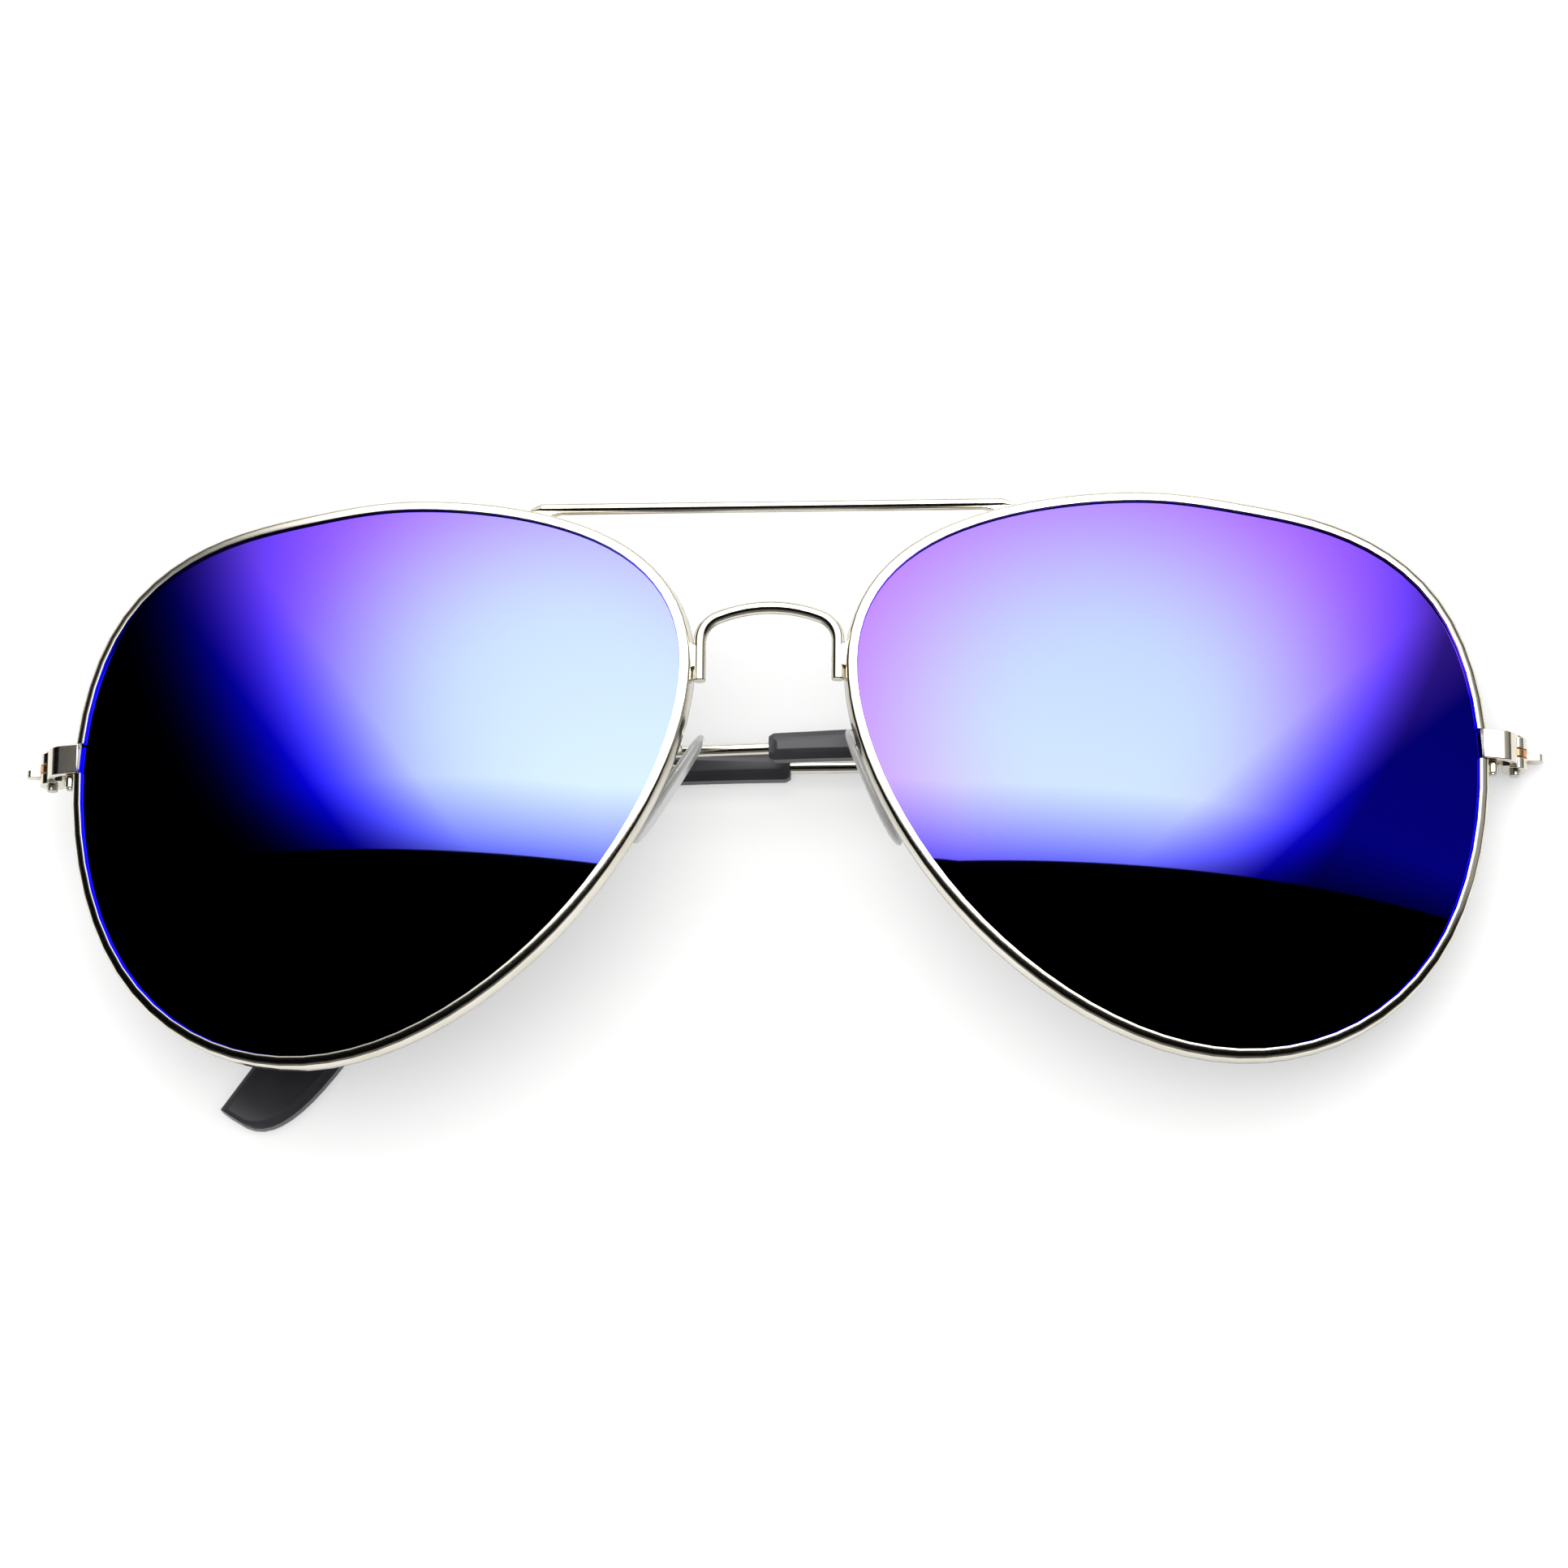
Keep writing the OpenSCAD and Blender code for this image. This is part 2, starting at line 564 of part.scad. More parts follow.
// Rim closing: the block carries the end piece, the tube is brazed to the rim's lower end
module lock_hole(from, length) {
    translate([tube_axis.x, from + length / 2, tube_axis.z])
        rod(length, lock_screw + 2 * pin_fit);
}
module lock_block() {
    foot = hinge_height - end_height / 2;
    color(metal) difference() {
        translate([0, hinge_height, 0]) slab(end_height) intersection() {
            strip_outline(end_thickness);
            translate([block_x, block_bottom]) square([bend_x - block_x, end_depth]);
        }
        lock_hole(foot - seam, lock_depth + seam);
    }
}
module lock_tube() {
    top = hinge_height - end_height / 2 - seam;
    color(metal) difference() {
        translate([tube_axis.x, top - lock_height / 2, tube_axis.z]) rod(lock_height, lock_tube);
        lock_hole(top - 2 * lock_height, 3 * lock_height);
    }
}
module lock_screw() {
    foot = hinge_height - end_height / 2 - seam - lock_height - lock_end;
    top = hinge_height - end_height / 2 + lock_depth - 2 * pin_fit;
    color(steel) translate([tube_axis.x, (foot + top) / 2, tube_axis.z]) rod(top - foot, lock_screw);
}

// Hinge leaf: a plate behind the end piece's leg, with a knuckle above and below the tongue
module hinge_leaf() {
    root = hinge_x - knuckle / 2;
    color(metal) translate([0, hinge_height, 0]) difference() {
        union() {
            for (side = [-1, 1])
                translate([0, side * (hinge_total - knuckle_height) / 2, 0]) {
                    translate([hinge_x, 0, 0]) rod(knuckle_height, knuckle);
                    slab(knuckle_height)
                        translate([root, 0]) square([leg_outside - root, leg_end]);
                }
            slab(hinge_total)
                translate([leg_inside - leaf_thickness, leg_end])
                    square([leaf_thickness, bend_z - leg_end]);
        }
        translate([hinge_x, 0, 0]) rod(2 * hinge_total, hinge_screw + 2 * pin_fit);
    }
}
module hinge_pin() {
    top = hinge_height + hinge_total / 2;
    bottom = hinge_height - hinge_total / 2 - screw_end;
    color(steel) {
        translate([hinge_x, (top + bottom) / 2, 0]) rod(top - bottom, hinge_screw);
        translate([hinge_x, top + head_height / 2, 0]) rod(head_height, hinge_head);
    }
}

// Temple tongue: the flattened front end of the temple, with its eye and its stop
module temple_tongue() {
    color(metal) difference() {
        slab(tongue) {
            circle(d = knuckle);
            translate([-tongue_length, -temple_offset - temple_wire / 2])
                square([tongue_length + temple_stop - temple_wire / 2, temple_wire]);
            translate([temple_stop - temple_wire / 2, -temple_offset]) circle(d = temple_wire);
        }
        rod(2 * tongue, hinge_screw + 2 * pin_fit);
    }
}
// Temple wire: round wire from the tongue into the socket of the plastic tip
module temple_wire() {
    color(metal) translate([-tongue_length, 0, -temple_offset]) rotate([0, -90, 0])
        cylinder(tip_start + socket_depth - tongue_length, d = temple_wire);
}
// Temple tip: a moulded strip over the wire, bent down behind the ear and cut to a paddle
module temple_tip(fit) {
    rings = tip_rings(fit);
    color([0.08, 0.08, 0.09]) difference() {
        skin(rings, one_cap(len(rings[0])));
        translate([socket_fit - tip_start, 0, -temple_offset]) rotate([0, -90, 0])
            cylinder(socket_depth + 2 * socket_fit, d = temple_wire + 2 * socket_fit);
    }
}

left_side() rim();  // left_rim
right_side() rim();  // right_rim
left_side() lens();  // left_lens
right_side() lens();  // right_lens
brow_bar();
bridge();
left_side() pad_arm(left_seat);  // left_pad_arm
right_side() pad_arm(right_seat);  // right_pad_arm
left_side() pad_box(left_seat);  // left_pad_box
right_side() pad_box(right_seat);  // right_pad_box
pad_screws();
left_side() pad_core(left_seat);  // left_pad_core
right_side() pad_core(right_seat);  // right_pad_core
left_side() nose_pad(left_seat);  // left_nose_pad
right_side() nose_pad(right_seat);  // right_nose_pad
left_side() end_piece();  // left_end_piece
right_side() end_piece();  // right_end_piece
left_side() lock_block();  // left_lock_block
right_side() lock_block();  // right_lock_block
left_side() lock_tube();  // left_lock_tube
right_side() lock_tube();  // right_lock_tube
both_sides() lock_screw();  // lock_screws
left_side() hinge_leaf();  // left_hinge_leaf
right_side() hinge_leaf();  // right_hinge_leaf
both_sides() hinge_pin();  // hinge_screws
left_side() folded(left_fold) temple_tongue();  // left_temple_tongue
right_side() folded(-right_fold) temple_tongue();  // right_temple_tongue
left_temple() temple_wire();  // left_temple_wire
right_temple() temple_wire();  // right_temple_wire
left_temple() temple_tip(left_fit);  // left_temple_tip
right_temple() temple_tip(right_fit);  // right_temple_tip
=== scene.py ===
import json
import math

import bpy
from mathutils import Matrix, Vector


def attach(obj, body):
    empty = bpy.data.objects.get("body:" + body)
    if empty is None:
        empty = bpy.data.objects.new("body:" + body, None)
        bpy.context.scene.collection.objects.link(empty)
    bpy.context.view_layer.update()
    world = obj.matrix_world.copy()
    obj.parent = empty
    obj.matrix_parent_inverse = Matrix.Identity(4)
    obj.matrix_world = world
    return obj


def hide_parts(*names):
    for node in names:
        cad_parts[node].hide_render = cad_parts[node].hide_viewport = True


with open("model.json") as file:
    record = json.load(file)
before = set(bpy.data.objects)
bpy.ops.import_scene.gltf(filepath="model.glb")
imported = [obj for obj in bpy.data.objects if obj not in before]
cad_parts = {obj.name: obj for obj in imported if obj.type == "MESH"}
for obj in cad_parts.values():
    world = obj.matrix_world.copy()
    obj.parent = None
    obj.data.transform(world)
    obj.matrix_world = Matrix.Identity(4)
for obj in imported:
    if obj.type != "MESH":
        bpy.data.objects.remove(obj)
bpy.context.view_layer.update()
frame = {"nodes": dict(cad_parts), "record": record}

# Rims: two grooved wires, silver plated, that are bent round the lenses and closed by a screw.
# Each is the solid's own sweep, welded and shaded as one smooth drawn wire, and it takes the
# place of the faceted solid.
weld_gap = 2e-6
rim_crease = 50
mm_in_metre = 1000
cast_mm = 6.25
cast_from = 0.35
cast_to = 0.65
plate_warm = "#d8d2c2"
plate_bright = "#e6e1d5"
plate_rough = (0.1, 0.2)
drawn_mm = 1 / 6
drawn_bump = 0.08
drawn_depth = 0.00002


def linear(code):
    """Linear red, green, blue and alpha of an sRGB hex colour."""
    parts = [int(code[i:i + 2], 16) / 255 for i in (1, 3, 5)]
    return [c / 12.92 if c <= 0.04045 else ((c + 0.055) / 1.055) ** 2.4 for c in parts] + [1.0]


def join(tree, node, links):
    """Sets inputs of a node, each to a value, to a socket or to the first output of another node."""
    for name, value in links:
        if isinstance(value, bpy.types.Node):
            value = value.outputs[0]
        if isinstance(value, bpy.types.NodeSocket):
            tree.links.new(value, node.inputs[name])
        else:
            node.inputs[name].default_value = value


def add(tree, kind, links=(), **settings):
    """Adds a node with its own settings and with what its inputs are joined to."""
    node = tree.nodes.new(kind)
    for name, value in settings.items():
        setattr(node, name, value)
    join(tree, node, links)
    return node


def material(name):
    """A new material, with its node tree and its shader."""
    made = bpy.data.materials.new(name)
    made.use_nodes = True
    return made, made.node_tree, made.node_tree.nodes["Principled BSDF"]


def select_only(piece):
    """Makes a piece the only selected and the active object."""
    bpy.ops.object.select_all(action="DESELECT")
    piece.select_set(True)
    bpy.context.view_layer.objects.active = piece


def copy_of(node, name, crease):
    """A welded copy of a CAD node's mesh, shaded smooth up to an angle."""
    piece = bpy.data.objects.new(name, frame["nodes"][node].data.copy())
    bpy.context.scene.collection.objects.link(piece)
    select_only(piece)
    bpy.ops.mesh.customdata_custom_splitnormals_clear()
    bpy.ops.object.mode_set(mode="EDIT")
    bpy.ops.mesh.select_all(action="SELECT")
    bpy.ops.mesh.remove_doubles(threshold=weld_gap)
    bpy.ops.mesh.normals_make_consistent(inside=False)
    bpy.ops.object.mode_set(mode="OBJECT")
    bpy.ops.object.shade_smooth_by_angle(angle=math.radians(crease))
    return piece


def dress(piece, body, slot, finish, *nodes):
    """Gives a piece its material, its body and the nodes that it stands for; its slot is not used."""
    piece.data.materials.clear()
    piece.data.materials.append(finish)
    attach(piece, body)
    if nodes:
        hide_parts(*nodes)


# The plate gives the eye a bright silver with a warm cast in patches and a faint drawn haze. The
# real haze is finer than a hundredth of a millimetre, and is drawn coarser so that it shows.
silver, tree, shader = material("silver_plated_wire")
place = add(tree, "ShaderNodeTexCoord").outputs["Object"]
cast = add(tree, "ShaderNodeTexNoise",
           [("Vector", place), ("Scale", mm_in_metre / cast_mm), ("Detail", 3.0)])
grain = add(tree, "ShaderNodeTexNoise",
            [("Vector", place), ("Scale", mm_in_metre / drawn_mm), ("Detail", 2.0)])
tint = add(tree, "ShaderNodeValToRGB", [("Fac", cast)])
tint.color_ramp.elements[0].position = cast_from
tint.color_ramp.elements[0].color = linear(plate_warm)
tint.color_ramp.elements[1].position = cast_to
tint.color_ramp.elements[1].color = linear(plate_bright)
haze = add(tree, "ShaderNodeMapRange",
           [("Value", grain), ("To Min", plate_rough[0]), ("To Max", plate_rough[1])])
bump = add(tree, "ShaderNodeBump",
           [("Height", grain), ("Strength", drawn_bump), ("Distance", drawn_depth)])
join(tree, shader, [("Base Color", tint), ("Roughness", haze), ("Normal", bump), ("Metallic", 1.0)])

for side in ("left", "right"):
    rim = copy_of(side + "_rim", side + "_rim_wire", rim_crease)
    dress(rim, "front", "silver_plate", silver, side + "_rim")

# Lenses: curved sheets of dark plastic with a blue mirror coat on the outer face, snapped into
# the groove of the rim. Each is a welded copy of the solid, shaded by the sphere that the sheet
# was blown to. Its faces that look along the sphere's radius are its two sides.
lens_crease = 30
lens_facing = 0.5
lens_curve = 0.090
lens_wrap = 12.0
lens_top = {"left": (-0.0374421, 0, 0.0147245), "right": (0.0374421, 0, 0.0147245)}
front_place = (0, 0.00107553, 0.00448404)
front_lean = 2.0
flow_mm = 25 / 3
smoke_colour = "#191a1f"
smoke_rough = (0.05, 0.12)
coat_rough = 0.02
coat_blue = {"left": "#6e7aff", "right": "#6873ff"}
coat_violet = {"left": "#6a40f8", "right": "#6b40f8"}
# The deep blue is partly the coat's hue and partly painted shade, darker than the mirror's blue
deep_shade_blue = {"left": "#0a06ff", "right": "#0804ae"}
coat_middle = {"left": (-0.0184, 0.0032, 0.0191), "right": (0.0318, 0.0042, 0.019)}
coat_near = {"left": 0.0100, "right": 0.0064}
coat_far = {"left": 0.0345, "right": 0.0315}
shade_way = {"left": (0.81, 0.58, 0), "right": (-0.707, 0.707, 0)}
shade_from = {"left": -0.0340, "right": -0.0384}
shade_to = {"left": -0.0255, "right": -0.0300}
# Sockets of the Mix node for its two colours and for their mix, which share names with others
colour_a, colour_b, colour_mix = 6, 7, 2

# The sheet itself gives a near-black smoked plastic with a soft shine and faint flow marks, seen
# from behind and at the edge.
smoke, tree, shader = material("smoked_lens_plastic")
place = add(tree, "ShaderNodeTexCoord").outputs["Object"]
flow = add(tree, "ShaderNodeTexNoise",
           [("Vector", place), ("Scale", mm_in_metre / flow_mm), ("Detail", 2.0)])
haze = add(tree, "ShaderNodeMapRange",
           [("Value", flow), ("To Min", smoke_rough[0]), ("To Max", smoke_rough[1])])
join(tree, shader, [("Base Color", linear(smoke_colour)), ("Roughness", haze)])

to_table = Matrix.Translation(front_place) @ Matrix.Rotation(math.radians(front_lean), 4, "Y")
for side, turn in (("left", -1), ("right", 1)):
    # The coat gives a hard mirror that goes from sky blue to violet away from its middle, and to a
    # deeper, darker blue towards the lower outer corner: partly the coat's hue and partly painted
    # shade where the mirrored light falls off.
    coat, tree, shader = material(side + "_mirror_coat")
    place = add(tree, "ShaderNodeTexCoord").outputs["Object"]
    away = add(tree, "ShaderNodeVectorMath", [(0, place), (1, coat_middle[side])],
               operation="DISTANCE").outputs["Value"]
    drift = add(tree, "ShaderNodeMapRange",
                [("Value", away), ("From Min", coat_near[side]), ("From Max", coat_far[side])],
                interpolation_type="SMOOTHSTEP")
    tint = add(tree, "ShaderNodeMix",
               [(0, drift), (colour_a, linear(coat_blue[side])), (colour_b, linear(coat_violet[side]))],
               data_type="RGBA").outputs[colour_mix]
    # Painted shade: the coat darkens to the deep blue towards the lower outer corner
    slant = add(tree, "ShaderNodeVectorMath", [(0, place), (1, shade_way[side])],
                operation="DOT_PRODUCT").outputs["Value"]
    painted_shade = add(tree, "ShaderNodeMapRange",
               [("Value", slant), ("From Min", shade_from[side]), ("From Max", shade_to[side])])
    tint = add(tree, "ShaderNodeMix",
               [(0, painted_shade), (colour_a, linear(deep_shade_blue[side])), (colour_b, tint)],
               data_type="RGBA").outputs[colour_mix]
    join(tree, shader, [("Base Color", tint), ("Metallic", 1.0), ("Roughness", coat_rough)])

    lens = copy_of(side + "_lens", side + "_lens_sheet", lens_crease)
    dress(lens, "front", "mirror_lens", coat, side + "_lens")
    lens.data.materials.append(smoke)
    inwards = Matrix.Rotation(math.radians(turn * lens_wrap), 4, "Y") @ Vector((0, 0, -lens_curve))
    centre = to_table @ (Vector(lens_top[side]) + inwards)
    normals = []
    for face in lens.data.polygons:
        facing = face.normal.dot((face.center - centre).normalized())
        face.material_index = 0 if facing > lens_facing else 1
        for corner in face.loop_indices:
            point = lens.data.vertices[lens.data.loops[corner].vertex_index].co
            ray = (point - centre).normalized()
            normals.append(ray if facing > lens_facing else
                           -ray if facing < -lens_facing else face.normal)
    lens.data.normals_split_custom_set(normals)

# Bridge and brow bar: two lengths of plated wire between the rims. The brow bar is brazed on top of
# them and its ends are filed thin; the bridge is bent to a bow, and its legs lie along the rims.
wire_crease = 40
wire_ease = 0.00012
ease_steps = 3
flat_angle = 0.5
brow_end_facing = 0.9
brow_taper = 0.0011
brow_drop = -0.0002
brow_thin = 0.45


def pick(piece, kind, test):
    """Selects the vertices or the faces of a piece that pass a test, and goes to edit mode."""
    select_only(piece)
    bpy.ops.object.mode_set(mode="EDIT")
    bpy.ops.mesh.select_mode(type=kind)
    bpy.ops.mesh.select_all(action="DESELECT")
    bpy.ops.object.mode_set(mode="OBJECT")
    for part in piece.data.vertices if kind == "VERT" else piece.data.polygons:
        part.select = test(part)
    bpy.ops.object.mode_set(mode="EDIT")


def join_flats(piece):
    """Joins the triangles of each flat face."""
    pick(piece, "FACE", lambda face: True)
    bpy.ops.mesh.dissolve_limited(angle_limit=math.radians(flat_angle))
    bpy.ops.object.mode_set(mode="OBJECT")


def ease_edges(piece, width, crease):
    """Rounds the edges of a piece past an angle, and shades them smooth beside its flat faces."""
    select_only(piece)
    edge = piece.modifiers.new("eased_edges", "BEVEL")
    edge.width = width
    edge.segments = ease_steps
    edge.limit_method = "ANGLE"
    edge.angle_limit = math.radians(crease)
    bpy.ops.object.modifier_apply(modifier=edge.name)
    bpy.ops.object.shade_smooth_by_angle(angle=math.radians(crease))
    flats = piece.modifiers.new("flat_faces", "WEIGHTED_NORMAL")
    flats.keep_sharp = True
    bpy.ops.object.modifier_apply(modifier=flats.name)


brow = copy_of("brow_bar", "brow_wire", wire_crease)
join_flats(brow)
for turn in (-1, 1):
    pick(brow, "FACE", lambda face: turn * face.normal.x > brow_end_facing)
    bpy.ops.mesh.extrude_faces_indiv()
    bpy.ops.transform.translate(value=(turn * brow_taper, brow_drop, 0))
    bpy.ops.object.mode_set(mode="OBJECT")
    end = [v.co for v in brow.data.vertices if v.select]
    bpy.ops.object.mode_set(mode="EDIT")
    bpy.ops.transform.resize(value=(1, brow_thin, brow_thin),
                             center_override=sum(end, Vector()) / len(end))
    bpy.ops.object.mode_set(mode="OBJECT")
ease_edges(brow, wire_ease, wire_crease)
dress(brow, "front", "silver_plate", silver, "brow_bar")
bridge = copy_of("bridge", "bridge_wire", wire_crease)
join_flats(bridge)
ease_edges(bridge, wire_ease, wire_crease)
dress(bridge, "front", "silver_plate", silver, "bridge")

# Solder: beads of silver solder that have run into the seams, where the bridge's legs lie along the
# rims and where the ends of the brow bar touch them. One block is hollowed at its ends, rounded and
# copied; each bead has its place on the right side, its size and the angle at which it lies.
bead_cuts = 3
bead_end = 0.49
bead_core = 0.3
bead_hollow = 0.16
bead_levels = 2
solder_beads = {
    "bridge_solder": ((0.0068, 0.0101, 0.0150), (0.0033, 0.00095, 0.0010), 90.0),
    "brow_solder": ((0.0206, 0.02515, 0.0124), (0.0028, 0.0007, 0.0008), -14.0)}
bpy.ops.object.select_all(action="DESELECT")
bpy.ops.mesh.primitive_cube_add(size=1)
block = bpy.context.active_object
bpy.ops.object.mode_set(mode="EDIT")
bpy.ops.mesh.subdivide(number_cuts=bead_cuts)
bpy.ops.object.mode_set(mode="OBJECT")
for end in (-1, 1):
    pick(block, "VERT", lambda v: end * v.co.x > bead_end and abs(v.co.y) < bead_core)
    bpy.ops.transform.translate(value=(-end * bead_hollow, 0, 0))
    bpy.ops.object.mode_set(mode="OBJECT")
run = block.modifiers.new("run", "SUBSURF")
run.levels = bead_levels
run.render_levels = bead_levels
bpy.ops.object.modifier_apply(modifier=run.name)
bpy.ops.object.shade_smooth()
for name, (spot, size, lie) in solder_beads.items():
    for side, turn in (("left", -1), ("right", 1)):
        bead = bpy.data.objects.new(side + "_" + name, block.data.copy())
        bpy.context.scene.collection.objects.link(bead)
        bead.data.transform(
            to_table @ Matrix.Translation((turn * spot[0], spot[1], spot[2]))
            @ Matrix.Rotation(math.radians(turn * lie), 4, "Z") @ Matrix.Diagonal((*size, 1)))
        dress(bead, "front", "silver_plate", silver)
bpy.data.objects.remove(block)

# Pad arms, pad boxes and pad cores: bent wire and pressed sheet, silver-plated. The arm is brazed to
# the back of the rim and carries the box; the core's eye rocks in the box and holds the cushion.
arm_crease = 60
sheet_crease = 40
sheet_ease = 0.00005
for side in ("left", "right"):
    arm = copy_of(side + "_pad_arm", side + "_pad_arm_wire", arm_crease)
    dress(arm, "front", "silver_plate", silver, side + "_pad_arm")
    for node, name, body in (("_pad_box", "_pad_cup", "front"),
                             ("_pad_core", "_pad_plate", side + "_pad")):
        pressed = copy_of(side + node, side + name, sheet_crease)
        join_flats(pressed)
        ease_edges(pressed, sheet_ease, sheet_crease)
        dress(pressed, body, "silver_plate", silver, side + node)

# Nose pads: clear soft silicone cushions, moulded on the metal core. Each follows its solid, with
# the edges rounded as a soft moulding is.
pad_crease = 60
pad_levels = 2
milk_mm = 2
milk_green = "#f3f2e2"
milk_pale = "#faf9ee"
milk_rough = (0.12, 0.22)
# The silicone gives a pale, slightly green look, with milky clouds and a soft skin.
silicone, tree, shader = material("clear_silicone")
place = add(tree, "ShaderNodeTexCoord").outputs["Object"]
milk = add(tree, "ShaderNodeTexNoise",
           [("Vector", place), ("Scale", mm_in_metre / milk_mm), ("Detail", 2.0)])
haze = add(tree, "ShaderNodeMapRange",
           [("Value", milk), ("To Min", milk_rough[0]), ("To Max", milk_rough[1])])
tint = add(tree, "ShaderNodeMix",
           [(0, milk), (colour_a, linear(milk_green)), (colour_b, linear(milk_pale))],
           data_type="RGBA").outputs[colour_mix]
join(tree, shader, [
    ("Base Color", tint), ("Roughness", haze), ("IOR", 1.41), ("Transmission Weight", 0.06),
    ("Subsurface Weight", 1.0), ("Subsurface Scale", 0.006), ("Subsurface Radius", (1, 1, 1)),
    ("Coat Weight", 1.0), ("Coat Roughness", 0.15), ("Sheen Weight", 0.5)])
for side in ("left", "right"):
    pad = copy_of(side + "_nose_pad", side + "_nose_cushion", pad_crease)
    pick(pad, "FACE", lambda face: True)
    bpy.ops.mesh.tris_convert_to_quads()
    bpy.ops.object.mode_set(mode="OBJECT")
    join_flats(pad)
    soft = pad.modifiers.new("soft", "SUBSURF")
    soft.levels = pad_levels
    soft.render_levels = pad_levels
    bpy.ops.object.modifier_apply(modifier=soft.name)
    bpy.ops.object.shade_smooth()
    dress(pad, side + "_pad", "clear_pad", silicone, side + "_nose_pad")

# End pieces, closing blocks and tubes, and hinge leaves: bent strip and small turned and milled
# fittings, silver-plated, brazed together at each end of the front.
fitting_crease = 40
fitting_ease = 0.00006
strip_ease = 0.0001
for side in ("left", "right"):
    for node, name, ease in (("_end_piece", "_end_strip", strip_ease),
                             ("_lock_block", "_closing_block", fitting_ease),
                             ("_lock_tube", "_closing_tube", fitting_ease),
                             ("_hinge_leaf", "_hinge_barrels", fitting_ease)):
        fitting = copy_of(side + node, side + name, fitting_crease)
        join_flats(fitting)
        ease_edges(fitting, ease, fitting_crease)
        dress(fitting, "front", "silver_plate", silver, side + node)

# Screws: turned steel pins. The hinge screws and the pad screws have a head with a driver's slot;
# the closing screws are driven into their blocks and show only their end.
pin_crease = 40
pin_ease = 0.00006
slot_width = 0.00028
slot_depth = 0.00014
slot_length = 0.003
head_top = {"temple_fold": 0.0018, "pad_rock": -0.00135}
mark_mm = 0.25
steel_dull = "#b9b4a8"
steel_bright = "#d6d2c8"
steel_rough = (0.2, 0.4)
# The turned steel gives a greyer, duller metal than the plate, broken up by tool marks. The real
# marks are about 0.05 mm apart, and are drawn coarser so that they show.
steel, tree, shader = material("turned_steel")
place = add(tree, "ShaderNodeTexCoord").outputs["Object"]
marks = add(tree, "ShaderNodeTexNoise",
            [("Vector", place), ("Scale", mm_in_metre / mark_mm), ("Detail", 2.0)])
haze = add(tree, "ShaderNodeMapRange",
           [("Value", marks), ("To Min", steel_rough[0]), ("To Max", steel_rough[1])])
tint = add(tree, "ShaderNodeMix",
           [(0, marks), (colour_a, linear(steel_dull)), (colour_b, linear(steel_bright))],
           data_type="RGBA").outputs[colour_mix]
join(tree, shader, [("Base Color", tint), ("Roughness", haze), ("Metallic", 1.0)])
for node, name, joint_end in (("hinge_screws", "hinge_pins", "temple_fold"),
                              ("pad_screws", "pad_pins", "pad_rock"),
                              ("lock_screws", "closing_pins", None)):
    pins = copy_of(node, name, pin_crease)
    join_flats(pins)
    ease_edges(pins, pin_ease, pin_crease)
    for joint in frame["record"]["behaviour"]["joints"]:
        if joint_end and joint["name"].endswith(joint_end):
            # The heads of the hinge screws are at the top of the hinge, whichever way the joint turns
            axis = Vector(joint["axis"]).normalized()
            axis = -axis if joint_end == "temple_fold" and axis.y < 0 else axis
            top = Vector(joint["pos_m"]) + axis * head_top[joint_end]
            bpy.ops.object.select_all(action="DESELECT")
            bpy.ops.mesh.primitive_cube_add(size=1)
            blade = bpy.context.active_object
            blade.data.transform(
                Matrix.Translation(top) @ axis.to_track_quat("Z", "Y").to_matrix().to_4x4()
                @ Matrix.Diagonal((slot_length, slot_width, 2 * slot_depth, 1)))
            select_only(pins)
            slot = pins.modifiers.new("slot", "BOOLEAN")
            slot.operation = "DIFFERENCE"
            slot.object = blade
            bpy.ops.object.modifier_apply(modifier=slot.name)
            bpy.data.objects.remove(blade)
    dress(pins, "front", "steel_screw", steel, node)

# Temples: silver-plated wire, flattened at the front to a tongue with an eye and a stop, which
# turns on the hinge screw. The tongue is coloured a rosy brass round the eye.
temple_crease = 40
hinge_across = abs(frame["record"]["behaviour"]["joints"][0]["pos_m"][0])
brass_whole = 0.0011
brass_end = 0.0019
rub_mm = 0.4
eye_brass = "#c9996b"
tongue_silver = "#e0dacc"
tongue_rough = (0.15, 0.3)
# The tongue gives the plate's bright silver, and a rosy brass near the hinge axis that fades to
# silver away from it. The real rubbing marks are finer, and are drawn coarser so that they show.
tongue_plate, tree, shader = material("tongue_silver_plate")
place = add(tree, "ShaderNodeTexCoord").outputs["Object"]
off = add(tree, "ShaderNodeSeparateXYZ", [("Vector", place)]).outputs["X"]
off = add(tree, "ShaderNodeMath", [(0, off)], operation="ABSOLUTE")
off = add(tree, "ShaderNodeMath", [(0, off), (1, hinge_across)], operation="SUBTRACT")
off = add(tree, "ShaderNodeMath", [(0, off)], operation="ABSOLUTE")
# The colour goes from rosy brass near the hinge axis to silver further off
brass_fade = add(tree, "ShaderNodeMapRange",
          [("Value", off), ("From Min", brass_whole), ("From Max", brass_end)])
tint = add(tree, "ShaderNodeMix",
           [(0, brass_fade), (colour_a, linear(eye_brass)), (colour_b, linear(tongue_silver))],
           data_type="RGBA").outputs[colour_mix]
grain = add(tree, "ShaderNodeTexNoise",
            [("Vector", place), ("Scale", mm_in_metre / rub_mm), ("Detail", 2.0)])
haze = add(tree, "ShaderNodeMapRange",
           [("Value", grain), ("To Min", tongue_rough[0]), ("To Max", tongue_rough[1])])
join(tree, shader, [("Base Color", tint), ("Roughness", haze), ("Metallic", 1.0)])
for side in ("left", "right"):
    for node, name, ease, finish in (("_temple_tongue", "_temple_flat", fitting_ease, tongue_plate),
                                     ("_temple_wire", "_temple_rod", wire_ease, silver)):
        metal = copy_of(side + node, side + name, temple_crease)
        join_flats(metal)
        ease_edges(metal, ease, temple_crease)
        dress(metal, side + "_temple", "silver_plate", finish, side + node)

